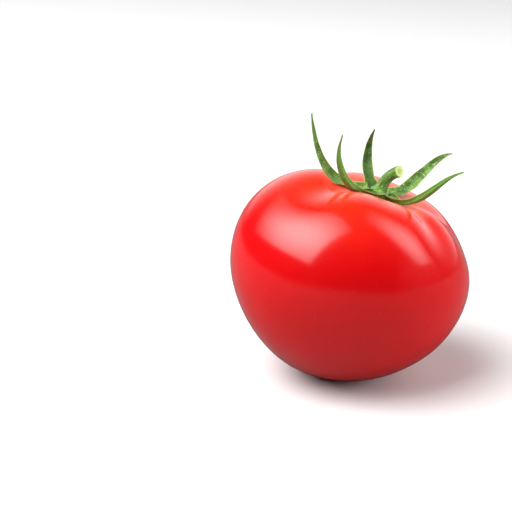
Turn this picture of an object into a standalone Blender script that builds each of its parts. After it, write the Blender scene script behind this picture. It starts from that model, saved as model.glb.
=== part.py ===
"""A ripe round tomato, as picked: the fruit, its calyx of five sepals and a cut stub of stem.

Metres, +Z up, the front at -Y. The fruit leans to its right and a little back, and rests on a flat spot.
Every piece is drawn upright in the fruit's own frame, whose +Z runs from the blossom end to the stem end
and whose origin is the middle of the fruit. set_down() then leans the whole tomato over and puts it on the
floor. The origin is the bottom centre of the fruit's box.
"""

import math

import bmesh
import bpy
from mathutils import Matrix, Vector

# The fruit.
FRUIT_WIDTH = 0.0770
STEM_END_HEIGHT = 0.0345  # from the middle of the fruit up to the stem end, had it no hollow
BLOSSOM_END_HEIGHT = 0.0335  # from the middle of the fruit down to the blossom end
FULLNESS = 1.05  # 1 is an ellipse, less is squarer at the shoulders
SHOULDERS = 0.11  # how much broader the stem end is than the blossom end
HOLLOW_DEPTH = 0.0085  # the hollow that the calyx sits in
HOLLOW_RADIUS = 0.0130
BLOSSOM_DIMPLE_DEPTH = 0.0006
BLOSSOM_DIMPLE_RADIUS = 0.0060
OUT_OF_ROUND = 0.030  # the most that one side falls short of the round, as a share of its radius
OUT_OF_ROUND_AZIMUTH = 40.0
FURROWS = (  # azimuth, depth and half-width of each furrow that runs out over the shoulder; below 0 is a rib
    (-46.0, 0.0018, 13.0),
    (-6.0, 0.0017, 15.0),
    (80.0, -0.0006, 18.0),
    (139.0, 0.0044, 20.0),
    (214.0, 0.0032, 20.0),
)
FURROW_POLAR = 30.0  # how far from the stem end the furrows are deepest
FURROW_REACH = 24.0
FRUIT_SEGMENTS = 64
FRUIT_RINGS = 36

# How it lies.
LEAN_RIGHT = 20.0
LEAN_BACK = 4.0
REST_SPOT_DEPTH = 0.0010  # how much of the skin the flat spot takes away

# The calyx disc, from which the sepals and the stem grow.
DISC_RADIUS = 0.0044
DISC_THICKNESS = 0.0021
DISC_SEGMENTS = 24
JOINT_GAP = 0.0003  # between the disc and what grows from it
SKIN_CLEARANCE = 0.0004  # the least air between the green pieces and the skin

# The sepals: azimuth, length, width, the rise above level and the turn aside of the spine at its base,
# middle and tip, and how far the blade rolls over sideways beyond its base, in degrees.
SEPALS = {
    "sepal_right_front": (-43.0, 0.0284, 0.0035, (-4.0, 55.0, 32.0), (0.0, -2.0, 5.0), 38.0),
    "sepal_right_back": (38.5, 0.0275, 0.0047, (6.5, 54.5, 14.5), (0.0, -2.0, -11.0), -30.0),
    "sepal_back": (117.0, 0.0207, 0.0043, (31.0, 55.0, 107.0), (0.0, -5.5, 15.5), 20.0),
    "sepal_left": (194.0, 0.0386, 0.0045, (-8.5, 36.0, 68.0), (0.0, 25.0, -3.0), 70.0),
    "sepal_front_left": (240.0, 0.0299, 0.0032, (-10.5, 40.0, 92.0), (0.0, -38.5, -18.5), -82.0),
}
SEPAL_THICKNESS = 0.0007
SEPAL_CHANNEL = 0.35  # how far the edges stand up beside the midrib, as a share of half the width
SEPAL_BASE_ARC = 40.0  # how much of the disc's rim each sepal grows from, in degrees
SEPAL_TIP_WIDTH = 0.0006
SEPAL_STEPS = 18
SEPAL_STRIPS = 4

# The stem.
STEM_LENGTH = 0.0094
STEM_WIDTH = 0.0033
STEM_FOOT_FLARE = 0.30  # how much wider the stem is at its foot
STEM_END_FLARE = 0.10  # how much wider it is at the cut
STEM_AZIMUTH = -25.0
STEM_RISES = (87.0, 68.0, 28.0)
STEM_STEPS = 14

SKIN_RED = (0.72, 0.01, 0.012)
SEPAL_GREEN = (0.10, 0.22, 0.03)
DISC_GREEN = (0.11, 0.20, 0.04)
STEM_GREEN = (0.13, 0.23, 0.05)


def clear_scene():
    for old in list(bpy.data.objects):
        bpy.data.objects.remove(old)


def material(name, colour, roughness):
    made = bpy.data.materials.new(name)
    made.use_nodes = True
    shader = made.node_tree.nodes["Principled BSDF"]
    shader.inputs["Base Color"].default_value = (*colour, 1.0)
    shader.inputs["Roughness"].default_value = roughness
    shader.inputs["Metallic"].default_value = 0.0
    return made


def add_object(name, data, look, collection):
    made = bpy.data.objects.new(name, data)
    data.materials.append(look)
    collection.objects.link(made)
    return made


def bell(distance, width):
    """1 at no distance, falling smoothly to 0 beyond about two widths."""
    return math.exp(-((distance / width) ** 2))


def degrees_apart(a, b):
    return abs((a - b + 180.0) % 360.0 - 180.0)


def turned_skin(polar):
    """Radius and height of the fruit's turned shape, polar degrees from the stem end."""
    across = math.sin(math.radians(polar))
    along = math.cos(math.radians(polar))
    radius = FRUIT_WIDTH / 2 * max(across, 0.0) ** FULLNESS * (1 + SHOULDERS * along)
    height = (STEM_END_HEIGHT + BLOSSOM_END_HEIGHT) / 2 * along
    height += (STEM_END_HEIGHT - BLOSSOM_END_HEIGHT) / 2 * along**2
    if along > 0:
        height -= HOLLOW_DEPTH * bell(radius, HOLLOW_RADIUS)
    else:
        height += BLOSSOM_DIMPLE_DEPTH * bell(radius, BLOSSOM_DIMPLE_RADIUS)
    return radius, height


def skin_height(radius):
    """Height of the turned shape's upper half at a distance from the axis."""
    low, high = 0.0, 90.0
    for _ in range(40):
        middle = (low + high) / 2
        if turned_skin(middle)[0] < radius:
            low = middle
        else:
            high = middle
    return turned_skin(low)[1]


def skin_point(polar, azimuth):
    """A point of the fruit's skin: the turned shape, less its furrows and its flatter side."""
    radius, height = turned_skin(polar)
    furrow = sum(depth * bell(degrees_apart(azimuth, at), width) for at, depth, width in FURROWS)
    furrow *= bell(polar - FURROW_POLAR, FURROW_REACH) * (1 - bell(radius, 1.6 * DISC_RADIUS))
    side = OUT_OF_ROUND / 2 * (1 - math.cos(math.radians(2 * (azimuth - OUT_OF_ROUND_AZIMUTH))))
    turn = math.radians(azimuth)
    round_point = Vector((radius * math.cos(turn), radius * math.sin(turn), height))
    round_point -= round_point.normalized() * furrow
    round_point.x *= 1 - side
    round_point.y *= 1 - side
    return round_point


def make_fruit(look, collection):
    shape = bmesh.new()
    bmesh.ops.create_uvsphere(shape, u_segments=FRUIT_SEGMENTS, v_segments=FRUIT_RINGS, radius=1.0)
    for vertex in shape.verts:
        polar = math.degrees(math.acos(max(-1.0, min(1.0, vertex.co.z))))
        azimuth = math.degrees(math.atan2(vertex.co.y, vertex.co.x))
        vertex.co = skin_point(polar, azimuth)
    mesh = bpy.data.meshes.new("fruit")
    shape.to_mesh(mesh)
    shape.free()
    mesh.shade_smooth()
    return add_object("fruit", mesh, look, collection)


def make_disc(look, collection):
    """A low button that sits in the hollow. Its underside follows the skin, where the fruit is narrowest."""
    reaches = [DISC_RADIUS * share for share in (0.0, 0.35, 0.7, 0.93)]
    under = [(reach, skin_height(reach / (1 - OUT_OF_ROUND)) + SKIN_CLEARANCE) for reach in reaches]
    crown = under[0][1] + DISC_THICKNESS
    rim = under[-1][1]
    profile = [(0.0, crown), (DISC_RADIUS * 0.5, crown - 0.08 * DISC_THICKNESS)]
    profile += [(DISC_RADIUS * 0.85, crown - 0.28 * DISC_THICKNESS), (DISC_RADIUS, (crown + rim) / 2)]
    profile += under[::-1]
    mesh = bpy.data.meshes.new("calyx_disc")
    points = [(radius, 0.0, height) for radius, height in profile]
    mesh.from_pydata(points, [(i, i + 1) for i in range(len(points) - 1)], [])
    made = add_object("calyx_disc", mesh, look, collection)
    turn = made.modifiers.new("turn", "SCREW")
    turn.steps = turn.render_steps = DISC_SEGMENTS
    turn.use_merge_vertices = True
    turn.merge_threshold = 1e-5
    turn.use_normal_calculate = True
    return made


def bent(values, share):
    """Runs smoothly through the value at the base, the middle and the tip."""
    base, middle, tip = values
    near_tip = 2 * share - 1
    return middle * 4 * share * (1 - share) + tip * share * near_tip - base * (1 - share) * near_tip


def spine(start, azimuth, length, rises, turns, roll, steps):
    """Points and headings along a stalk or a sepal that grows from start, as (place, sideways, up)."""
    place = start.copy()
    made = []
    for step in range(steps + 1):
        share = step / steps
        rise = math.radians(bent(rises, share))
        heading = math.radians(azimuth + bent(turns, share))
        level = Vector((math.cos(heading), math.sin(heading), 0.0))
        forward = level * math.cos(rise) + Vector((0.0, 0.0, math.sin(rise)))
        over = Matrix.Rotation(-math.radians(roll) * (1 - bell(share, 0.25)), 3, forward)
        sideways = over @ Vector((-math.sin(heading), math.cos(heading), 0.0))
        made.append((place.copy(), sideways, forward.cross(sideways)))
        place += forward * (length / steps)
    return made


def sepal_half_width(width, share):
    """Half the width along a sepal, from its base on the disc's rim to its fine tip."""
    base = (DISC_RADIUS + JOINT_GAP) * math.sin(math.radians(SEPAL_BASE_ARC / 2))
    blade = max(width * (1 - share) ** 0.85 * (0.85 + 0.9 * share), SEPAL_TIP_WIDTH) / 2
    at_base = bell(share, 0.15)
    return base * at_base + blade * (1 - at_base)


def above_skin(point, room):
    """The point, lifted where it would come nearer to the skin than room."""
    radius = math.hypot(point.x, point.y)
    if radius > 0.45 * FRUIT_WIDTH:
        return point
    azimuth = math.degrees(math.atan2(point.y, point.x))
    low, high = 0.0, 90.0
    for _ in range(24):
        middle = (low + high) / 2
        if skin_point(middle, azimuth).xy.length < radius:
            low = middle
        else:
            high = middle
    return Vector((point.x, point.y, max(point.z, skin_point(low, azimuth).z + room)))


def make_sepal(name, look, collection):
    azimuth, length, width, rises, turns, roll = SEPALS[name]
    out = DISC_RADIUS + JOINT_GAP
    turn = math.radians(azimuth)
    foot = skin_height(out) + SKIN_CLEARANCE + DISC_THICKNESS * 0.55
    start = Vector((out * math.cos(turn), out * math.sin(turn), foot))
    sections = spine(start, azimuth, length, rises, turns, roll, SEPAL_STEPS)
    room = SKIN_CLEARANCE + SEPAL_THICKNESS / 2
    shape = bmesh.new()
    bmesh.ops.create_grid(shape, x_segments=SEPAL_STEPS, y_segments=SEPAL_STRIPS, size=1.0)
    for vertex in shape.verts:
        step = round((vertex.co.x + 1) / 2 * SEPAL_STEPS)
        side = vertex.co.y
        place, sideways, up = sections[step]
        half = sepal_half_width(width, step / SEPAL_STEPS)
        lifted = place + sideways * side * half + up * half * SEPAL_CHANNEL * side * side
        vertex.co = above_skin(lifted, room)
    mesh = bpy.data.meshes.new(name)
    shape.to_mesh(mesh)
    shape.free()
    mesh.shade_smooth()
    made = add_object(name, mesh, look, collection)
    blade = made.modifiers.new("blade", "SOLIDIFY")
    blade.thickness = SEPAL_THICKNESS
    blade.offset = 0.0
    return made


def make_stem(look, collection):
    foot = skin_height(0.0) + SKIN_CLEARANCE + DISC_THICKNESS + JOINT_GAP
    start = Vector((0.0, 0.0, foot))
    sections = spine(start, STEM_AZIMUTH, STEM_LENGTH, STEM_RISES, (0.0, 0.0, 0.0), 0.0, STEM_STEPS)
    curve = bpy.data.curves.new("stem", "CURVE")
    curve.dimensions = "3D"
    curve.bevel_depth = STEM_WIDTH / 2
    curve.bevel_resolution = 3
    curve.use_fill_caps = True
    line = curve.splines.new("POLY")
    line.points.add(STEM_STEPS)
    for index, (place, _, _) in enumerate(sections):
        share = index / STEM_STEPS
        line.points[index].co = (*place, 1.0)
        flare = STEM_FOOT_FLARE * bell(share, 0.22) + STEM_END_FLARE * bell(1 - share, 0.15)
        line.points[index].radius = 1 + flare
    return add_object("stem", curve, look, collection)


def set_down(fruit, pieces):
    """Leans the tomato over, centres the fruit's box on the origin and sinks it by the flat spot's depth."""
    lean = Matrix.Rotation(math.radians(LEAN_RIGHT), 4, "Y")
    lean @= Matrix.Rotation(math.radians(-LEAN_BACK), 4, "X")
    corners = [lean @ vertex.co for vertex in fruit.data.vertices]
    low = Vector(min(corner[k] for corner in corners) for k in range(3))
    high = Vector(max(corner[k] for corner in corners) for k in range(3))
    middle = (low + high) / 2
    move = Matrix.Translation((-middle.x, -middle.y, -low.z - REST_SPOT_DEPTH))
    for piece in pieces:
        piece.matrix_world = move @ lean


def flatten_rest_spot(fruit):
    """Cuts the fruit off level where it meets the floor, in the fruit's own frame."""
    to_fruit = fruit.matrix_world.inverted()
    floor_point = to_fruit @ Vector((0.0, 0.0, 0.0))
    floor_normal = to_fruit.to_3x3() @ Vector((0.0, 0.0, 1.0))
    shape = bmesh.new()
    shape.from_mesh(fruit.data)
    whole = shape.verts[:] + shape.edges[:] + shape.faces[:]
    cut = bmesh.ops.bisect_plane(
        shape, geom=whole, plane_co=floor_point, plane_no=floor_normal, clear_inner=True
    )["geom_cut"]
    outline = [item for item in cut if isinstance(item, bmesh.types.BMEdge)]
    bmesh.ops.contextual_create(shape, geom=outline)
    bmesh.ops.recalc_face_normals(shape, faces=shape.faces[:])
    shape.to_mesh(fruit.data)
    shape.free()


def main():
    clear_scene()
    tomato = bpy.data.collections.new("tomato")
    bpy.context.scene.collection.children.link(tomato)
    fruit = make_fruit(material("red_skin", SKIN_RED, 0.25), tomato)
    pieces = [fruit, make_disc(material("disc_green", DISC_GREEN, 0.7), tomato)]
    sepal_look = material("sepal_green", SEPAL_GREEN, 0.6)
    pieces += [make_sepal(name, sepal_look, tomato) for name in SEPALS]
    pieces.append(make_stem(material("stem_green", STEM_GREEN, 0.6), tomato))
    set_down(fruit, pieces)
    flatten_rest_spot(fruit)


main()
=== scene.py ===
import math
import random

import bmesh
import bpy
from mathutils import Matrix, Vector, noise


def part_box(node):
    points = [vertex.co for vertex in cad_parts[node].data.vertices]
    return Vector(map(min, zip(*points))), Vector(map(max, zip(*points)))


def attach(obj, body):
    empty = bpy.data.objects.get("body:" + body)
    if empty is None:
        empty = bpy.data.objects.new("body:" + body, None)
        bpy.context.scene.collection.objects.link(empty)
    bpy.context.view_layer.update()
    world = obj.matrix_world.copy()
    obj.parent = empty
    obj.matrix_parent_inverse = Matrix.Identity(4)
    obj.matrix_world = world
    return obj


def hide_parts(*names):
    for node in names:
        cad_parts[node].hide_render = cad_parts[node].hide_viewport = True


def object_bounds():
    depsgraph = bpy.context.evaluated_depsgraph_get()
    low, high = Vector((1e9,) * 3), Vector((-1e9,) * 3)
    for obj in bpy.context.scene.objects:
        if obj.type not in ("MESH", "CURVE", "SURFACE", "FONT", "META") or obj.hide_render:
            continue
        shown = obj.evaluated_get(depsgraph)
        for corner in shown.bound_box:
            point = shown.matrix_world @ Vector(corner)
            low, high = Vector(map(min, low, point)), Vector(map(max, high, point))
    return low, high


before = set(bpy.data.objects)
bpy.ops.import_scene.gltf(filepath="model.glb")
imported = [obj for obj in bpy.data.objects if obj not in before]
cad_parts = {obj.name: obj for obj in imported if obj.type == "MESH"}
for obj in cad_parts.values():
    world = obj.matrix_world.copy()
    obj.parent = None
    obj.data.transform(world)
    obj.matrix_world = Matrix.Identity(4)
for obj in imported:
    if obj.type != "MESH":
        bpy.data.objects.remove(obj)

cad_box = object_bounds()


# ---------------------------------------------------------------------------------------------------
# The fruit. A ripe round tomato: thin waxy skin, drawn tight over the flesh, with a dished stem end,
# shallow furrows over the shoulder, and a flat spot underneath where its own weight rests it. It is
# shaped upright about its own middle, then leaned over to the right and set on the floor.
# ---------------------------------------------------------------------------------------------------
fruit_width = 0.0770
stem_end_height = 0.0345
blossom_end_height = 0.0335
fullness = 1.05
shoulders = 0.11
hollow_depth = 0.0085
hollow_radius = 0.0130
blossom_dimple_depth = 0.0006
blossom_dimple_radius = 0.0060
out_of_round = 0.030
out_of_round_azimuth = 40.0
furrows = (  # azimuth, depth and half-width
    (-46.0, 0.0018, 13.0),
    (-6.0, 0.0017, 15.0),
    (80.0, -0.0006, 18.0),
    (139.0, 0.0044, 20.0),
    (214.0, 0.0032, 20.0),
)
furrow_polar = 30.0  # where the furrows are deepest, in degrees from the stem end
furrow_reach = 24.0  # how far they run from there, up and down
lean_right = 20.0
lean_back = 4.0
disc_radius = 0.0044  # the calyx crown, which stops the furrows

skin_segments = 180
skin_rings = 112
shrink = 0.9985  # keeps the finer skin inside the coarser solid's box
rest_clearance = 0.0001  # between the rest spot and the floor
pleats = 17  # the fine pleats that run out from under the calyx
pleat_depth = 0.00005
pleat_ring = 0.0085  # how far out they are deepest
pleat_reach = 0.0042
pleat_wander = 2.5
swell_depth = 0.00022  # how unevenly the skin swells between them
swell_size = 0.016

deep_red = (0.63, 0.0006, 0.0035)
darkest_red = (0.56, 0.0004, 0.0025)
# Orange of the shoulder: partly the skin's own colour, partly painted light.
lit_shoulder_orange = (0.86, 0.030, 0.007)
halo_cream = (0.86, 0.22, 0.08)
# Painted highlight: the pale pink where the lip of the hollow catches the light.
lip_highlight_pink = (0.92, 0.17, 0.10)
speck_yellow = (0.90, 0.28, 0.10)
scar_brown = (0.20, 0.085, 0.03)


def bell(distance, width):
    return math.exp(-((distance / width) ** 2))


def degrees_apart(a, b):
    return abs((a - b + 180.0) % 360.0 - 180.0)


def turned_skin(polar):
    """Radius and height of the fruit's turned shape, polar degrees from the stem end."""
    across = math.sin(math.radians(polar))
    along = math.cos(math.radians(polar))
    radius = fruit_width / 2 * max(across, 0.0) ** fullness * (1 + shoulders * along)
    height = (stem_end_height + blossom_end_height) / 2 * along
    height += (stem_end_height - blossom_end_height) / 2 * along**2
    if along > 0:
        height -= hollow_depth * bell(radius, hollow_radius)
    else:
        height += blossom_dimple_depth * bell(radius, blossom_dimple_radius)
    return radius, height


def furrowed(polar, azimuth, radius):
    """How far the skin falls back into its furrows."""
    furrow = sum(depth * bell(degrees_apart(azimuth, at), width) for at, depth, width in furrows)
    return furrow * bell(polar - furrow_polar, furrow_reach) * (1 - bell(radius, 1.6 * disc_radius))


def skin_point(polar, azimuth):
    radius, height = turned_skin(polar)
    side = out_of_round / 2 * (1 - math.cos(math.radians(2 * (azimuth - out_of_round_azimuth))))
    turn = math.radians(azimuth)
    point = Vector((radius * math.cos(turn), radius * math.sin(turn), height))
    point -= point.normalized() * furrowed(polar, azimuth, radius)
    point.x *= 1 - side
    point.y *= 1 - side
    return point


def skin_height(radius, azimuth=None):
    """Height of the upper skin at a distance from the axis: of the turned shape, or at one azimuth."""
    low, high = 0.0, 90.0
    for _ in range(24):
        middle = (low + high) / 2
        reach = turned_skin(middle)[0] if azimuth is None else skin_point(middle, azimuth).xy.length
        low, high = (middle, high) if reach < radius else (low, middle)
    return turned_skin(low)[1] if azimuth is None else skin_point(low, azimuth).z


skin = bmesh.new()
bmesh.ops.create_uvsphere(skin, u_segments=skin_segments, v_segments=skin_rings, radius=1.0)
from_stem_end = skin.verts.layers.float.new("from_stem_end")
for vertex in skin.verts:
    polar = math.degrees(math.acos(max(-1.0, min(1.0, vertex.co.z))))
    azimuth = math.degrees(math.atan2(vertex.co.y, vertex.co.x))
    point = skin_point(polar, azimuth)
    radius = point.xy.length
    vertex[from_stem_end] = polar / 180.0
    outward = point.normalized()
    pleat = math.cos(math.radians(pleats * azimuth) + pleat_wander * noise.noise(outward * 3.0))
    point += outward * pleat_depth * pleat * bell(radius - pleat_ring, pleat_reach)
    point += outward * swell_depth * noise.noise(point / swell_size + Vector((3.1, 0.4, 7.7)))
    vertex.co = point

lean = Matrix.Rotation(math.radians(lean_right), 4, "Y")
lean = lean @ Matrix.Rotation(math.radians(-lean_back), 4, "X")
bmesh.ops.transform(skin, matrix=lean, verts=skin.verts)
low = Vector(min(vertex.co[k] for vertex in skin.verts) for k in range(3))
high = Vector(max(vertex.co[k] for vertex in skin.verts) for k in range(3))
cad_low, cad_high = (Vector(corner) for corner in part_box("fruit"))
fruit_middle = (cad_low + cad_high) / 2 - (low + high) / 2
fruit_middle.z = cad_high.z - high.z
placed = Matrix.Translation(fruit_middle) @ lean
bmesh.ops.translate(skin, vec=fruit_middle, verts=skin.verts)
for vertex in skin.verts:
    vertex.co = fruit_middle + (vertex.co - fruit_middle) * shrink
    vertex.co.z = max(vertex.co.z, rest_clearance)
bmesh.ops.recalc_face_normals(skin, faces=skin.faces[:])


def finish_piece(name, shape, look, node_names, subdivide=0):
    """Makes a mesh object at the origin, smooths it, and ties it to the frame."""
    mesh = bpy.data.meshes.new(name)
    shape.to_mesh(mesh)
    shape.free()
    mesh.shade_smooth()
    mesh.materials.append(look)
    piece = bpy.data.objects.new(name, mesh)
    bpy.context.scene.collection.objects.link(piece)
    if subdivide:
        rounded = piece.modifiers.new("rounded", "SUBSURF")
        rounded.levels = rounded.render_levels = subdivide
    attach(piece, "root")
    if node_names:
        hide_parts(*node_names)
    return piece


class Look:
    """A node material under construction: nodes are added by kind, and sockets joined by name."""

    def __init__(self, name):
        self.material = bpy.data.materials.new(name)
        self.material.use_nodes = True
        self.tree = self.material.node_tree
        self.shader = self.tree.nodes["Principled BSDF"]

    def node(self, kind, inputs=None, **settings):
        made = self.tree.nodes.new(kind)
        for key, value in settings.items():
            setattr(made, key, value)
        for key, value in (inputs or {}).items():
            if isinstance(value, bpy.types.NodeSocket):
                self.tree.links.new(value, made.inputs[key])
            else:
                made.inputs[key].default_value = value
        return made

    def maths(self, operation, *values):
        return self.node("ShaderNodeMath", dict(enumerate(values)), operation=operation).outputs[0]

    def times(self, *values):
        product = values[0]
        for value in values[1:]:
            product = self.maths("MULTIPLY", product, value)
        return product

    def shifted(self, value, texture, amount):
        """A value moved up and down by a texture, so that what follows it has an uneven edge."""
        return self.maths("ADD", value, self.times(self.maths("SUBTRACT", texture, 0.5), amount))

    def spread(self, value, low, high, to_low=0.0, to_high=1.0):
        """Maps low..high smoothly onto to_low..to_high."""
        inputs = {"Value": value, "From Min": low, "From Max": high, "To Min": to_low, "To Max": to_high}
        made = self.node("ShaderNodeMapRange", inputs, interpolation_type="SMOOTHSTEP")
        return made.outputs["Result"]

    def blend(self, share, first, second):
        """Goes from the first colour to the second as share goes from 0 to 1."""
        made = self.node("ShaderNodeMix", data_type="RGBA")
        for index, value in ((0, share), (6, first), (7, second)):
            if isinstance(value, bpy.types.NodeSocket):
                self.tree.links.new(value, made.inputs[index])
            else:
                made.inputs[index].default_value = (*value, 1.0) if isinstance(value, tuple) else value
        return made.outputs[2]

    def noise(self, place, scale, detail=3.0, roughness=0.5):
        inputs = {"Vector": place, "Scale": scale, "Detail": detail, "Roughness": roughness}
        return self.node("ShaderNodeTexNoise", inputs).outputs["Fac"]

    def attribute(self, name):
        return self.node("ShaderNodeAttribute", attribute_name=name).outputs["Fac"]

    def feed(self, **sockets):
        for key, value in sockets.items():
            self.tree.links.new(value, self.shader.inputs[key.replace("_", " ")])

    def set(self, **values):
        for key, value in values.items():
            self.shader.inputs[key.replace("_", " ")].default_value = value


look = Look("tomato_skin")
where = look.node("ShaderNodeTexCoord").outputs["Object"]
own = look.node("ShaderNodeMapping", {"Vector": where}, vector_type="TEXTURE")
own.inputs["Location"].default_value = fruit_middle
own.inputs["Rotation"].default_value = lean.to_euler()
parts = look.node("ShaderNodeSeparateXYZ", {"Vector": own.outputs[0]}).outputs
# Streaks run from the stem end down: the noise changes quickly around the fruit and slowly along it.
level = look.node("ShaderNodeCombineXYZ", {"X": parts["X"], "Y": parts["Y"]})
around = look.node("ShaderNodeVectorMath", {0: level.outputs[0]}, operation="NORMALIZE")
upward = look.node("ShaderNodeCombineXYZ", {"Z": look.times(parts["Z"], 14.0)})
streak_at = look.node("ShaderNodeVectorMath", {0: around.outputs[0], 1: upward.outputs[0]}, operation="ADD")
streaks = look.noise(streak_at.outputs[0], 9.0, 4.0, 0.6)
patches = look.noise(own.outputs[0], 34.0, 3.0, 0.5)
mottle = look.noise(own.outputs[0], 260.0, 4.0, 0.6)

# How far down the skin a point is, from 0 at the stem end to 1 at the blossom end, with uneven edges:
# the orange shoulder, partly the skin's own colour and partly painted light, stronger on the left where
# the big soft box falls; the pale halo round the crown; a painted highlight on the lip of the hollow;
# and the blossom scar.
down = look.attribute("from_stem_end")
wandering = look.shifted(down, patches, 0.22)
streaked = look.shifted(down, streaks, 0.09)
# Painted light: the orange shoulder is made stronger on the left, where the big soft box falls.
lit_left_side = look.maths("ADD", look.spread(parts["X"], -0.030, 0.016, 0.75, 0.0), 0.25)
shoulder_and_lit_side = look.times(look.spread(wandering, 0.14, 0.40, 1.0, 0.0), lit_left_side)
halo = look.spread(streaked, 0.040, 0.105, 0.80, 0.0)
# A painted highlight along the crest of the hollow's lip, round the crown.
lip_highlight = look.times(look.spread(streaked, 0.070, 0.100), look.spread(wandering, 0.115, 0.175, 0.60, 0.0))
scar = look.spread(streaked, 0.972, 0.985)
cells = look.node("ShaderNodeTexVoronoi", {"Vector": own.outputs[0], "Scale": 620.0})
speck = look.spread(cells.outputs["Distance"], 0.06, 0.20, 0.10, 0.0)
speck = look.times(speck, look.spread(mottle, 0.45, 0.6))

colour = look.blend(look.spread(patches, 0.3, 0.7, 0.0, 0.35), deep_red, darkest_red)
colour = look.blend(look.times(streaks, 0.08), colour, lit_shoulder_orange)
colour = look.blend(shoulder_and_lit_side, colour, lit_shoulder_orange)
colour = look.blend(halo, colour, halo_cream)
colour = look.blend(lip_highlight, colour, lip_highlight_pink)
colour = look.blend(speck, colour, speck_yellow)
colour = look.blend(scar, colour, scar_brown)
pits = look.node("ShaderNodeBump", {"Height": mottle, "Strength": 0.02, "Distance": 0.0003})
look.feed(
    Base_Color=colour,
    Normal=pits.outputs[0],
    Roughness=look.spread(mottle, 0.3, 0.7, 0.36, 0.44),
    Coat_Weight=look.maths("SUBTRACT", 1.0, look.times(look.maths("ADD", halo, lip_highlight), 0.6)),
)
look.set(Coat_Roughness=0.15, Coat_IOR=1.5, IOR=1.36, Specular_IOR_Level=0.05)
look.set(Subsurface_Weight=0.35, Subsurface_Radius=(1.0, 0.10, 0.06), Subsurface_Scale=0.010)
finish_piece("fruit_skin", skin, look.material, ["fruit"], subdivide=1)


# ---------------------------------------------------------------------------------------------------
# The calyx crown. The green button at the top of the core, where the stalk swells and the five sepals
# join: a low dome with a lobe over the foot of each sepal, finely hairy, its rim lying in the hollow.
# ---------------------------------------------------------------------------------------------------
disc_thickness = 0.0021
skin_clearance = 0.0004
joint_gap = 0.0003
crown_notch = 0.0006  # how far the rim draws in between two sepals
crown_rim = 0.0002  # how far the rim stands off the skin
crown_lobe_width = 26.0
crown_grain = 0.00006

# Each sepal: azimuth, length, width, its rises and turns at base, middle and tip, and its roll. A
# rise is in degrees above level and a turn is from its azimuth, before the fruit leans over.
sepals = {
    "sepal_right_front": (-43.0, 0.0284, 0.0035, (-4.0, 55.0, 32.0), (0.0, -2.0, 5.0), 38.0),
    "sepal_right_back": (38.5, 0.0275, 0.0047, (6.5, 54.5, 14.5), (0.0, -2.0, -11.0), -30.0),
    "sepal_back": (117.0, 0.0207, 0.0043, (31.0, 55.0, 107.0), (0.0, -5.5, 15.5), 20.0),
    "sepal_left": (194.0, 0.0386, 0.0045, (-8.5, 36.0, 68.0), (0.0, 25.0, -3.0), 70.0),
    "sepal_front_left": (240.0, 0.0299, 0.0032, (-10.5, 40.0, 92.0), (0.0, -38.5, -18.5), -82.0),
}

crown_dark = (0.035, 0.090, 0.012)
crown_green = (0.12, 0.25, 0.040)
crown_light = (0.15, 0.27, 0.05)
fleck_green = (0.60, 0.66, 0.36)


def build_plant_speckle():
    """Patches, pale flecks and relief of green plant tissue, for the crown, the sepals and the stem."""
    group = bpy.data.node_groups.new("plant_speckle", "ShaderNodeTree")
    group.interface.new_socket("Place", in_out="INPUT", socket_type="NodeSocketVector")
    size = group.interface.new_socket("Fleck Scale", in_out="INPUT", socket_type="NodeSocketFloat")
    size.default_value = 1350.0
    for name in ("Patches", "Grain", "Flecks", "Relief"):
        group.interface.new_socket(name, in_out="OUTPUT", socket_type="NodeSocketFloat")
    nodes, links = group.nodes, group.links
    given, gives = nodes.new("NodeGroupInput"), nodes.new("NodeGroupOutput")
    textures = {}
    for name, scale, detail in (("Patches", 300.0, 3.0), ("Grain", 900.0, 4.0)):
        textures[name] = nodes.new("ShaderNodeTexNoise")
        textures[name].inputs["Scale"].default_value = scale
        textures[name].inputs["Detail"].default_value = detail
        textures[name].inputs["Roughness"].default_value = 0.6
        links.new(given.outputs["Place"], textures[name].inputs["Vector"])
    cells = nodes.new("ShaderNodeTexVoronoi")
    links.new(given.outputs["Place"], cells.inputs["Vector"])
    links.new(given.outputs["Fleck Scale"], cells.inputs["Scale"])
    spots = {}
    ranges = {"Patches": (0.40, 0.60, 0, 1), "Grain": (0.42, 0.58, 0, 1), "Flecks": (0.20, 0.36, 1, 0)}
    for name, values in ranges.items():
        spots[name] = nodes.new("ShaderNodeMapRange")
        spots[name].interpolation_type = "SMOOTHSTEP"
        for socket, value in zip(("From Min", "From Max", "To Min", "To Max"), values):
            spots[name].inputs[socket].default_value = value
        source = cells.outputs["Distance"] if name == "Flecks" else textures[name].outputs["Fac"]
        links.new(source, spots[name].inputs["Value"])
    sparse = nodes.new("ShaderNodeMath")
    sparse.operation = "MULTIPLY"
    links.new(spots["Flecks"].outputs[0], sparse.inputs[0])
    links.new(spots["Grain"].outputs[0], sparse.inputs[1])
    relief = nodes.new("ShaderNodeMath")
    relief.operation = "ADD"
    links.new(textures["Grain"].outputs["Fac"], relief.inputs[0])
    links.new(sparse.outputs[0], relief.inputs[1])
    links.new(spots["Patches"].outputs[0], gives.inputs["Patches"])
    links.new(spots["Grain"].outputs[0], gives.inputs["Grain"])
    links.new(sparse.outputs[0], gives.inputs["Flecks"])
    links.new(relief.outputs[0], gives.inputs["Relief"])
    return group


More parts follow.
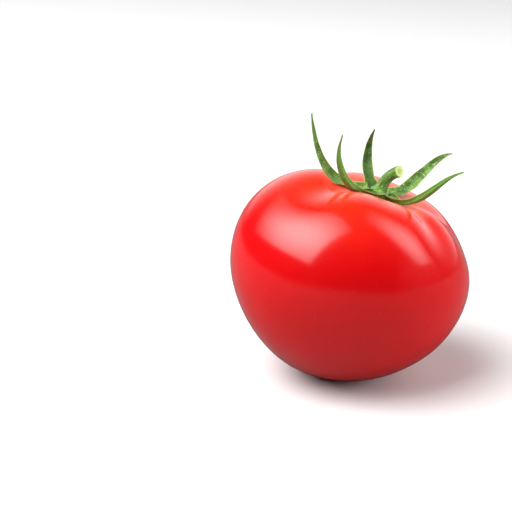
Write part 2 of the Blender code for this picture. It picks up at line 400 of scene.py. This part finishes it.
plant_speckle = build_plant_speckle()
look = Look("calyx_tissue")
place = look.node("ShaderNodeTexCoord").outputs["Object"]
speckle = look.node("ShaderNodeGroup", {"Place": place}, node_tree=plant_speckle).outputs
colour = look.blend(speckle["Patches"], crown_dark, crown_green)
colour = look.blend(look.times(speckle["Grain"], 0.45), colour, crown_light)
colour = look.blend(look.times(speckle["Flecks"], 0.8), colour, fleck_green)
bump = look.node("ShaderNodeBump", {"Height": speckle["Relief"], "Strength": 0.5, "Distance": 0.00010})
look.feed(
    Base_Color=colour,
    Normal=bump.outputs[0],
    Roughness=look.spread(speckle["Grain"], 0.0, 1.0, 0.45, 0.65),
)
look.set(Specular_IOR_Level=0.35, Subsurface_Weight=0.10, Subsurface_Radius=(0.4, 1.0, 0.1))
look.set(Subsurface_Scale=0.0008, Sheen_Weight=0.12, Sheen_Roughness=0.5)

crown_top = skin_height(0.0) + skin_clearance + disc_thickness
crown_sides, crown_rings = 120, 36


def crown_face_number(face):
    """Counts the sphere's faces ring by ring, because the hairs are dealt out by face number."""
    middle = face.calc_center_median().normalized()
    ring = math.floor(math.acos(middle.z) / math.pi * crown_rings)
    side = math.floor(math.atan2(middle.y, middle.x) / math.tau * crown_sides)
    return ring * crown_sides + side % crown_sides


crown = bmesh.new()
bmesh.ops.create_uvsphere(crown, u_segments=crown_sides, v_segments=crown_rings, radius=1.0)
crown.faces.sort(key=crown_face_number)  # the operator leaves them in another order each run
for vertex in crown.verts:
    polar = math.degrees(math.acos(max(-1.0, min(1.0, vertex.co.z))))
    azimuth = math.degrees(math.atan2(vertex.co.y, vertex.co.x))
    lobe = max(bell(degrees_apart(azimuth, sepal[0]), crown_lobe_width) for sepal in sepals.values())
    rim = disc_radius - crown_notch * (1 - lobe)
    share = math.sin(math.radians(polar)) ** 0.9
    radius = rim * share
    under = skin_height(radius / (1 - out_of_round)) + crown_rim
    over = crown_top - 0.0004 * share**2 - (0.0007 - 0.0004 * lobe) * share**4
    lift = math.cos(math.radians(polar)) ** 0.35 if polar < 90.0 else 0.0
    turn = math.radians(azimuth)
    point = Vector((radius * math.cos(turn), radius * math.sin(turn), under + (over - under) * lift))
    point.z += crown_grain * noise.noise(point * 900.0)
    vertex.co = point
bmesh.ops.transform(crown, matrix=placed, verts=crown.verts)
bmesh.ops.recalc_face_normals(crown, faces=crown.faces[:])
crown_piece = finish_piece("calyx_crown", crown, look.material, ["calyx_disc"], subdivide=1)


# ---------------------------------------------------------------------------------------------------
# The sepals. Five narrow green blades that grow from the rim of the crown, each channelled along a
# midrib, thick in the middle and thin at the pale margins, and drying to brown at the curled tip.
# ---------------------------------------------------------------------------------------------------
sepal_thickness = 0.0007
sepal_channel = 0.35  # how far the margins curl up, for its half-width
sepal_groove = 0.00016  # along the midrib
sepal_base_arc = 40.0
sepal_tip_width = 0.0005
sepal_steps = 90
sepal_strips = 16
sepal_tuck_steps = 5
sepal_lag = 0.5 / 18 - 0.5 / sepal_steps  # the solid bends in 18 straight steps
sepal_tuck = 0.0016  # how far its foot runs in under the crown's lobe
margin_wave = 0.00016
sepal_foot_reach = 0.16  # as a share of its length
sepal_foot_spread = 1.05  # how much wider the foot is than its joint, where it runs into its neighbours

# Each blade's own tone, from 0 pale to 1 deep green, and how far its tip has dried.
blade_tones = {
    "sepal_right_front": (0.55, 0.10),
    "sepal_right_back": (0.20, 0.25),
    "sepal_back": (0.95, 0.90),
    "sepal_left": (0.25, 0.30),
    "sepal_front_left": (0.10, 0.35),
}
pale_green = ((0.055, 0.140, 0.024), (0.190, 0.390, 0.075))
deep_green = ((0.013, 0.046, 0.002), (0.045, 0.120, 0.004))
margin_green = (0.36, 0.44, 0.09)
underside_green = (0.125, 0.310, 0.040)
dry_tip = (0.15, 0.115, 0.045)


def bent(values, share):
    """Bends smoothly through the values at the base, the middle and the tip."""
    base, middle, tip = values
    near_tip = 2 * share - 1
    return middle * 4 * share * (1 - share) + tip * share * near_tip - base * (1 - share) * near_tip


def spine(start, azimuth, length, rises, turns, roll, steps, lag):
    """Places and headings along a stalk or a sepal that grows from start, as (place, sideways, up)."""
    place = start.copy()
    made = []
    for step in range(steps + 1):
        share = step / steps
        behind = max(share - lag, 0.0)
        rise = math.radians(bent(rises, behind))
        heading = math.radians(azimuth + bent(turns, behind))
        level = Vector((math.cos(heading), math.sin(heading), 0.0))
        forward = level * math.cos(rise) + Vector((0.0, 0.0, math.sin(rise)))
        over = Matrix.Rotation(-math.radians(roll) * (1 - bell(share, 0.25)), 3, forward)
        sideways = over @ Vector((-math.sin(heading), math.cos(heading), 0.0))
        made.append((place.copy(), sideways, forward.cross(sideways)))
        place += forward * (length / steps)
    return made


def sepal_half_width(width, share):
    """From the joint at the crown, through the widest part of the blade, to the tip."""
    base = (disc_radius + joint_gap) * math.sin(math.radians(sepal_base_arc / 2))
    base *= 1 + sepal_foot_spread * bell(share, sepal_foot_reach)
    reach = max(1 - share, 0.0)
    blade = max(width * reach**0.85 * (0.85 + 0.9 * share), sepal_tip_width) / 2
    at_base = bell(share, 0.18)
    return base * at_base + blade * (1 - at_base)


def above_skin(point, room):
    """Lifts a point that would dip into the fruit, unless it is out beyond the shoulder."""
    radius = point.xy.length
    if radius > 0.45 * fruit_width:
        return point
    azimuth = math.degrees(math.atan2(point.y, point.x))
    return Vector((point.x, point.y, max(point.z, skin_height(radius, azimuth) + room)))


def make_sepal(name, look):
    azimuth, length, width, rises, turns, roll = sepals[name]
    out = disc_radius + joint_gap
    turn = math.radians(azimuth)
    foot = skin_height(out) + skin_clearance + disc_thickness * 0.55
    start = Vector((out * math.cos(turn), out * math.sin(turn), foot))
    sections = spine(start, azimuth, length, rises, turns, roll, sepal_steps, sepal_lag)
    all_steps = sepal_steps + sepal_tuck_steps
    blade = bmesh.new()
    bmesh.ops.create_grid(blade, x_segments=all_steps, y_segments=sepal_strips, size=1.0)
    layers = {key: blade.verts.layers.float.new(key) for key in ("along", "across", "under", "tone", "dry")}
    own_wave = Vector((azimuth * 0.37, 1.7, 4.1))
    for vertex in blade.verts:
        step = round((vertex.co.x + 1) / 2 * all_steps) - sepal_tuck_steps
        side = vertex.co.y
        share = max(step, 0) / sepal_steps
        place, sideways, up = sections[max(step, 0)]
        if step < 0:
            tuck = sepal_tuck * step / sepal_tuck_steps
            place = place + Vector((math.cos(turn), math.sin(turn), -0.10)) * tuck
        half = sepal_half_width(width, share)
        wave = margin_wave * noise.noise(Vector((share * 9.0, side * 0.6, 0.0)) + own_wave) * abs(side)
        groove = sepal_groove * bell(side, 0.16) * (1 - share) ** 0.5
        rise = half * sepal_channel * side * side + wave * 2.0 - groove
        lifted = place + sideways * (side * half + wave) + up * (rise + 0.3 * sepal_thickness)
        vertex.co = above_skin(lifted, skin_clearance + sepal_thickness * 0.75)
        tone, dry = blade_tones[name]
        for key, value in (("along", share), ("across", abs(side)), ("tone", tone), ("dry", dry)):
            vertex[layers[key]] = value
    bmesh.ops.transform(blade, matrix=placed, verts=blade.verts)
    blade.normal_update()
    faces_up = sum((face.normal for face in blade.faces[:40]), Vector())
    if faces_up.dot(placed.to_3x3() @ Vector((0.0, 0.0, 1.0))) < 0:
        bmesh.ops.reverse_faces(blade, faces=blade.faces[:])
        blade.normal_update()
    # The underside: a copy of the blade pushed down along its normals, thick at the midrib.
    copied = bmesh.ops.duplicate(blade, geom=blade.verts[:] + blade.edges[:] + blade.faces[:])["geom"]
    for vertex in [item for item in copied if isinstance(item, bmesh.types.BMVert)]:
        share, across = vertex[layers["along"]], vertex[layers["across"]]
        thick = sepal_thickness * (0.34 + 0.66 * bell(across, 0.34)) * (1 - 0.45 * share)
        vertex.co -= vertex.normal * thick
        vertex[layers["under"]] = 1.0
    under_faces = [item for item in copied if isinstance(item, bmesh.types.BMFace)]
    bmesh.ops.reverse_faces(blade, faces=under_faces)
    bmesh.ops.bridge_loops(blade, edges=[edge for edge in blade.edges if edge.is_boundary])
    bmesh.ops.recalc_face_normals(blade, faces=blade.faces[:])
    return finish_piece(name + "_blade", blade, look, [name], subdivide=1)


look = Look("sepal_tissue")
place = look.node("ShaderNodeTexCoord").outputs["Object"]
speckle = look.node("ShaderNodeGroup", {"Place": place}, node_tree=plant_speckle).outputs
along, across, under = (look.attribute(name) for name in ("along", "across", "under"))
tone, dry = look.attribute("tone"), look.attribute("dry")
dark = look.blend(tone, pale_green[0], deep_green[0])
light = look.blend(tone, pale_green[1], deep_green[1])
colour = look.blend(speckle["Patches"], dark, light)
colour = look.blend(look.times(speckle["Grain"], 0.40), colour, light)
midrib = look.times(look.spread(across, 0.0, 0.16, 1.0, 0.0), look.maths("SUBTRACT", 1.0, under))
colour = look.blend(look.times(midrib, 0.30), colour, dark)
veins = look.maths("ABSOLUTE", look.maths("SINE", look.times(across, 9.0)))
vein = look.spread(veins, 0.0, 0.35, 0.35, 0.0)
colour = look.blend(vein, colour, light)
colour = look.blend(look.times(under, 0.75), colour, underside_green)
fleck = look.times(speckle["Flecks"], look.maths("SUBTRACT", 0.85, look.times(under, 0.5)))
fleck = look.times(fleck, look.spread(tone, 0.25, 0.95, 1.0, 0.15))
colour = look.blend(fleck, colour, fleck_green)
colour = look.blend(look.spread(across, 0.80, 0.97, 0.0, 0.85), colour, margin_green)
toward_tip = look.maths("ADD", along, look.times(speckle["Grain"], 0.06))
colour = look.blend(look.times(look.spread(toward_tip, 0.72, 1.0), dry), colour, dry_tip)
ridges = look.maths("ADD", speckle["Relief"], look.times(vein, 2.0))
bump = look.node("ShaderNodeBump", {"Height": ridges, "Strength": 0.45, "Distance": 0.00010})
look.feed(
    Base_Color=colour,
    Normal=bump.outputs[0],
    Roughness=look.spread(speckle["Grain"], 0.0, 1.0, 0.42, 0.62),
)
look.set(Specular_IOR_Level=0.28, Subsurface_Weight=0.12, Subsurface_Radius=(0.4, 1.0, 0.1))
look.set(Subsurface_Scale=0.0008, Sheen_Weight=0.05, Sheen_Roughness=0.5)
sepal_pieces = [make_sepal(name, look.material) for name in sepals]


# ---------------------------------------------------------------------------------------------------
# The stem. The stub of stalk that stays on a picked tomato: ribbed, hairy, swollen at the foot, bent
# to the right, and cut across, so that its pale flesh and darker pith show inside a thin green rind.
# ---------------------------------------------------------------------------------------------------
stem_length = 0.0094
stem_width = 0.0033
stem_foot_flare = 0.30
stem_end_flare = 0.10
stem_azimuth = -25.0
stem_rises = (87.0, 68.0, 28.0)
stem_ribs = 6
stem_rib_depth = 0.00011
stem_wander = 0.00010  # how uneven it is between the ribs
stem_steps = 40
stem_sides = 60
cut_turn = -24.0  # the knife went through aslant, so the cut looks this much further round

# The cut, from its edge to the pith: how far each ring is set in, and how far it is pushed out.
cut_rings = (
    (0.00012, 0.00016),
    (0.00010, 0.00002),
    (0.00042, -0.00010),
    (0.00030, -0.00003),
    (0.00020, -0.00012),
)

stem_dark = (0.045, 0.135, 0.012)
stem_green = (0.150, 0.34, 0.038)
stem_light = (0.15, 0.28, 0.05)
stem_fleck = (0.56, 0.60, 0.32)
cut_green = (0.62, 0.76, 0.26)
pith_green = (0.25, 0.31, 0.07)

foot = Vector((0.0, 0.0, crown_top + joint_gap))
straight = (0.0, 0.0, 0.0)
stem_lag = 0.5 / 14 - 0.5 / stem_steps  # the solid bends in 14 straight steps
sections = spine(foot, stem_azimuth, stem_length, stem_rises, straight, 0.0, stem_steps, stem_lag)
stalk = bmesh.new()
bmesh.ops.create_cone(
    stalk, cap_ends=True, cap_tris=False, segments=stem_sides, radius1=1.0, radius2=1.0, depth=2.0
)
upright = [edge for edge in stalk.edges if abs(edge.verts[0].co.z - edge.verts[1].co.z) > 1.0]
bmesh.ops.subdivide_edges(stalk, edges=upright, cuts=stem_steps - 1, use_grid_fill=True)
cut_layer = stalk.verts.layers.float.new("cut")
for vertex in stalk.verts:
    step = round((vertex.co.z + 1) / 2 * stem_steps)
    share = step / stem_steps
    angle = math.atan2(vertex.co.y, vertex.co.x)
    place, sideways, up = sections[step]
    flare = stem_foot_flare * bell(share, 0.22) + stem_end_flare * bell(1 - share, 0.15)
    size = stem_width / 2 * (1 + flare)
    size += stem_rib_depth * math.cos(stem_ribs * angle + 1.5 * share) * (1 - 0.4 * share)
    size += stem_wander * noise.noise(Vector((math.cos(angle), math.sin(angle), share * 5.0)) * 1.6)
    size *= 1 + 0.45 * bell(share, 0.06)
    sunk = Vector((0.0, 0.0, -joint_gap - 0.0003)) if step == 0 else Vector()  # into the crown
    reach = (sideways * math.sin(angle) + up * math.cos(angle)) * size
    slant = cut_turn * max(0.0, (share - 0.75) / 0.25) ** 2
    vertex.co = place + Matrix.Rotation(math.radians(slant), 3, up) @ reach + sunk
ends = [face for face in stalk.faces if len(face.verts) == stem_sides]
cut_face = max(ends, key=lambda face: face.calc_center_median().z)
away = cut_face.normal.copy()
for ring, (inset, push) in enumerate(cut_rings):
    bmesh.ops.inset_individual(stalk, faces=[cut_face], thickness=inset, depth=0.0)
    for vertex in cut_face.verts:
        vertex.co += away * push
        vertex[cut_layer] = (ring + 1) / len(cut_rings)
bmesh.ops.poke(stalk, faces=[cut_face])
bmesh.ops.transform(stalk, matrix=placed, verts=stalk.verts)
bmesh.ops.recalc_face_normals(stalk, faces=stalk.faces[:])

look = Look("stem_tissue")
place = look.node("ShaderNodeTexCoord").outputs["Object"]
given = {"Place": place, "Fleck Scale": 1250.0}
speckle = look.node("ShaderNodeGroup", given, node_tree=plant_speckle).outputs
cut = look.attribute("cut")
colour = look.blend(speckle["Patches"], stem_dark, stem_green)
colour = look.blend(look.times(speckle["Grain"], 0.40), colour, stem_light)
colour = look.blend(look.times(speckle["Flecks"], 0.85), colour, stem_fleck)
colour = look.blend(look.spread(cut, 0.10, 0.35), colour, cut_green)
colour = look.blend(look.spread(cut, 0.78, 0.98, 0.0, 0.40), colour, pith_green)
bump = look.node("ShaderNodeBump", {"Height": speckle["Relief"], "Strength": 0.55, "Distance": 0.00012})
look.feed(
    Base_Color=colour,
    Normal=bump.outputs[0],
    Roughness=look.spread(speckle["Grain"], 0.0, 1.0, 0.45, 0.65),
)
look.set(Specular_IOR_Level=0.35, Subsurface_Weight=0.10, Subsurface_Radius=(0.4, 1.0, 0.1))
look.set(Subsurface_Scale=0.0008, Sheen_Weight=0.15, Sheen_Roughness=0.5)
stem_piece = finish_piece("stem_stub", stalk, look.material, ["stem"], subdivide=1)


# ---------------------------------------------------------------------------------------------------
# The hairs. Fresh tomato stalks and calyxes are covered in short fine clear hairs, thickest on the
# stem and the crown and sparse on the sepals. They grow straight out of the surface and catch light.
# ---------------------------------------------------------------------------------------------------
hair_base = 0.000024
hair_root = 0.00003  # how much of it is below the surface
hair_tilt = 0.35


def grow_hairs(tuft, piece, count, longest, seed):
    """Plants little three-sided spikes at random on a finished piece."""
    dice = random.Random(seed)
    evaluated = piece.evaluated_get(bpy.context.evaluated_depsgraph_get())
    mesh = evaluated.to_mesh()
    weights = [polygon.area for polygon in mesh.polygons]
    for polygon in dice.choices(mesh.polygons, weights=weights, k=count):
        length = longest * dice.uniform(0.4, 1.0)
        tilt = Vector((dice.uniform(-1, 1), dice.uniform(-1, 1), dice.uniform(-1, 1))) * hair_tilt
        aim = (polygon.normal + tilt).normalized()
        if polygon.center.z + length > cad_box[1][2]:
            continue  # the topmost tip stays bare, so that no hair stands above the part
        turn = aim.to_track_quat("Z", "Y").to_matrix().to_4x4()
        at = Matrix.Translation(polygon.center + aim * (length / 2 - hair_root)) @ turn
        bmesh.ops.create_cone(
            tuft, cap_ends=True, segments=3, radius1=hair_base, radius2=0.0, depth=length, matrix=at
        )
    evaluated.to_mesh_clear()


hairs = bmesh.new()
bpy.context.view_layer.update()
grow_hairs(hairs, stem_piece, 700, 0.00050, 11)
grow_hairs(hairs, crown_piece, 350, 0.00045, 12)
for index, piece in enumerate(sepal_pieces):
    grow_hairs(hairs, piece, 420, 0.00034, 20 + index)
look = Look("hair")
place = look.node("ShaderNodeTexCoord").outputs["Object"]
colour = look.blend(look.noise(place, 500.0), (0.40, 0.50, 0.26), (0.66, 0.70, 0.50))
look.feed(Base_Color=colour)
look.set(Roughness=0.4)
finish_piece("calyx_hairs", hairs, look.material, [])


# ---------------------------------------------------------------------------------------------------
# The studio. A pale floor that runs out of sight, a large soft box over the left shoulder, a narrow
# one at the right, a low card that fills in the right side, and a bright wall behind a dark room.
# ---------------------------------------------------------------------------------------------------
floor_shape = bmesh.new()
bmesh.ops.create_grid(floor_shape, x_segments=4, y_segments=4, size=3.0)
floor_mesh = bpy.data.meshes.new("floor")
floor_shape.to_mesh(floor_mesh)
floor_shape.free()
floor = bpy.data.objects.new("floor", floor_mesh)
bpy.context.scene.collection.objects.link(floor)
look = Look("pale_floor")
rays = look.node("ShaderNodeLightPath").outputs
bounced = look.blend(rays["Is Glossy Ray"], (0.45, 0.45, 0.45), (0.17, 0.17, 0.17))
look.feed(Base_Color=look.blend(rays["Is Camera Ray"], bounced, (0.80, 0.80, 0.80)))
look.set(Roughness=0.7, Specular_IOR_Level=0.0)
floor_mesh.materials.append(look.material)


def soft_box(name, azimuth, rise, across, over, width, height, turn, rim, heart, heart_at, heart_size):
    """A soft box a metre from the fruit and facing it. Its cloth is as bright as rim says, and brighter
    by heart at one spot. Across, over and that spot are in metres from the middle of the direction."""
    around, above = math.radians(azimuth), math.radians(rise)
    level = Vector((math.sin(around), -math.cos(around), 0.0))
    toward = level * math.cos(above) + Vector((0.0, 0.0, math.sin(above)))
    right = Vector((0.0, 0.0, 1.0)).cross(toward).normalized()
    side = Matrix.Rotation(math.radians(turn), 3, toward) @ right
    light = bpy.data.lights.new(name, "AREA")
    light.shape = "RECTANGLE"
    light.size, light.size_y = width, height
    light.energy = math.pi * width * height
    light.use_nodes = True
    tree = light.node_tree
    cloth = tree.nodes["Emission"]
    spot = tree.nodes.new("ShaderNodeVectorMath")
    spot.operation = "SUBTRACT"
    spot.inputs[1].default_value = (heart_at[0] / width + 0.5, heart_at[1] / height + 0.5, 0.0)
    spread = tree.nodes.new("ShaderNodeVectorMath")
    spread.operation = "MULTIPLY"
    spread.inputs[1].default_value = (width / heart_size[0], height / heart_size[1], 0.0)
    reach = tree.nodes.new("ShaderNodeVectorMath")
    reach.operation = "DOT_PRODUCT"
    fall = tree.nodes.new("ShaderNodeMath")
    fall.operation = "POWER"
    fall.inputs[0].default_value = 1 / math.e
    glow = tree.nodes.new("ShaderNodeMath")
    glow.operation = "MULTIPLY_ADD"
    glow.inputs[1].default_value = heart
    glow.inputs[2].default_value = rim
    tree.links.new(tree.nodes.new("ShaderNodeNewGeometry").outputs["Parametric"], spot.inputs[0])
    tree.links.new(spot.outputs[0], spread.inputs[0])
    tree.links.new(spread.outputs[0], reach.inputs[0])
    tree.links.new(spread.outputs[0], reach.inputs[1])
    tree.links.new(reach.outputs["Value"], fall.inputs[1])
    tree.links.new(fall.outputs[0], glow.inputs[0])
    tree.links.new(glow.outputs[0], cloth.inputs["Strength"])
    lamp = bpy.data.objects.new(name, light)
    stands = fruit_middle + toward + right * across + toward.cross(right) * over
    facing = Matrix((side, toward.cross(side), toward)).transposed().to_4x4()
    lamp.matrix_world = Matrix.Translation(stands) @ facing
    bpy.context.scene.collection.objects.link(lamp)
    return lamp


soft_box(
    "soft_box_left",
    azimuth=-62.0, rise=52.0, across=-0.515, over=0.15, width=1.87, height=1.30, turn=0.0,
    rim=0.3, heart=8.6, heart_at=(0.45, -0.12), heart_size=(0.72, 0.54),
)
soft_box(
    "soft_box_right",
    azimuth=105.0, rise=32.0, across=-0.11, over=0.24, width=0.52, height=1.05, turn=-20.0,
    rim=0.15, heart=4.4, heart_at=(-0.04, -0.13), heart_size=(0.20, 0.42),
)
fill_card = soft_box(
    "bounce_card",
    azimuth=86.0, rise=2.0, across=0.0, over=0.0, width=1.10, height=0.90, turn=0.0,
    rim=5.2, heart=0.0, heart_at=(0.0, 0.0), heart_size=(1.0, 1.0),
)
fill_card.visible_glossy = False

world = bpy.data.worlds.new("studio")
world.use_nodes = True
bpy.context.scene.world = world
nodes, links = world.node_tree.nodes, world.node_tree.links
surround = nodes["Background"]
surround.inputs["Color"].default_value = (1.0, 1.0, 1.0, 1.0)
direction = nodes.new("ShaderNodeTexCoord")
toward_wall = nodes.new("ShaderNodeVectorMath")
toward_wall.operation = "DOT_PRODUCT"
toward_wall.inputs[1].default_value = Vector((0.25, 0.96, 0.10)).normalized()
depth = nodes.new("ShaderNodeMapRange")
depth.interpolation_type = "SMOOTHSTEP"
depth.inputs["From Min"].default_value = 0.58
depth.inputs["From Max"].default_value = 0.97
depth.inputs["To Min"].default_value = 0.03
depth.inputs["To Max"].default_value = 1.3
seen = nodes.new("ShaderNodeLightPath")
choose = nodes.new("ShaderNodeMix")  # the camera sees it plain white
links.new(direction.outputs["Generated"], toward_wall.inputs[0])
links.new(toward_wall.outputs["Value"], depth.inputs["Value"])
links.new(seen.outputs["Is Camera Ray"], choose.inputs[0])
softer = nodes.new("ShaderNodeMapRange")  # the wall lights the fruit less than it shines in its skin
softer.inputs["To Min"].default_value = 0.50
links.new(seen.outputs["Is Glossy Ray"], softer.inputs["Value"])
wall_light = nodes.new("ShaderNodeMath")
wall_light.operation = "MULTIPLY"
links.new(depth.outputs["Result"], wall_light.inputs[0])
links.new(softer.outputs["Result"], wall_light.inputs[1])
links.new(wall_light.outputs[0], choose.inputs[2])
choose.inputs[3].default_value = 1.0
links.new(choose.outputs[0], surround.inputs["Strength"])
bpy.context.scene.view_settings.view_transform = "Standard"

# The camera: a long lens, 20 degrees above level, aimed to the left of the fruit and a little high.
camera_rise = math.radians(20.0)
camera_distance = 0.4477
aim_left = 0.02833
aim_up = 0.00614
camera_data = bpy.data.cameras.new("camera")
camera_data.lens = 100.0
camera_data.sensor_width = 36.0
camera = bpy.data.objects.new("camera", camera_data)
back = Vector((0.0, -math.cos(camera_rise), math.sin(camera_rise)))
camera_up = Vector((0.0, math.sin(camera_rise), math.cos(camera_rise)))
aim = fruit_middle + Vector((-aim_left, 0.0, 0.0)) + camera_up * aim_up
camera.location = aim + back * camera_distance
camera.rotation_euler = back.to_track_quat("Z", "Y").to_euler()
bpy.context.scene.collection.objects.link(camera)
bpy.context.scene.camera = camera

bpy.context.view_layer.update()
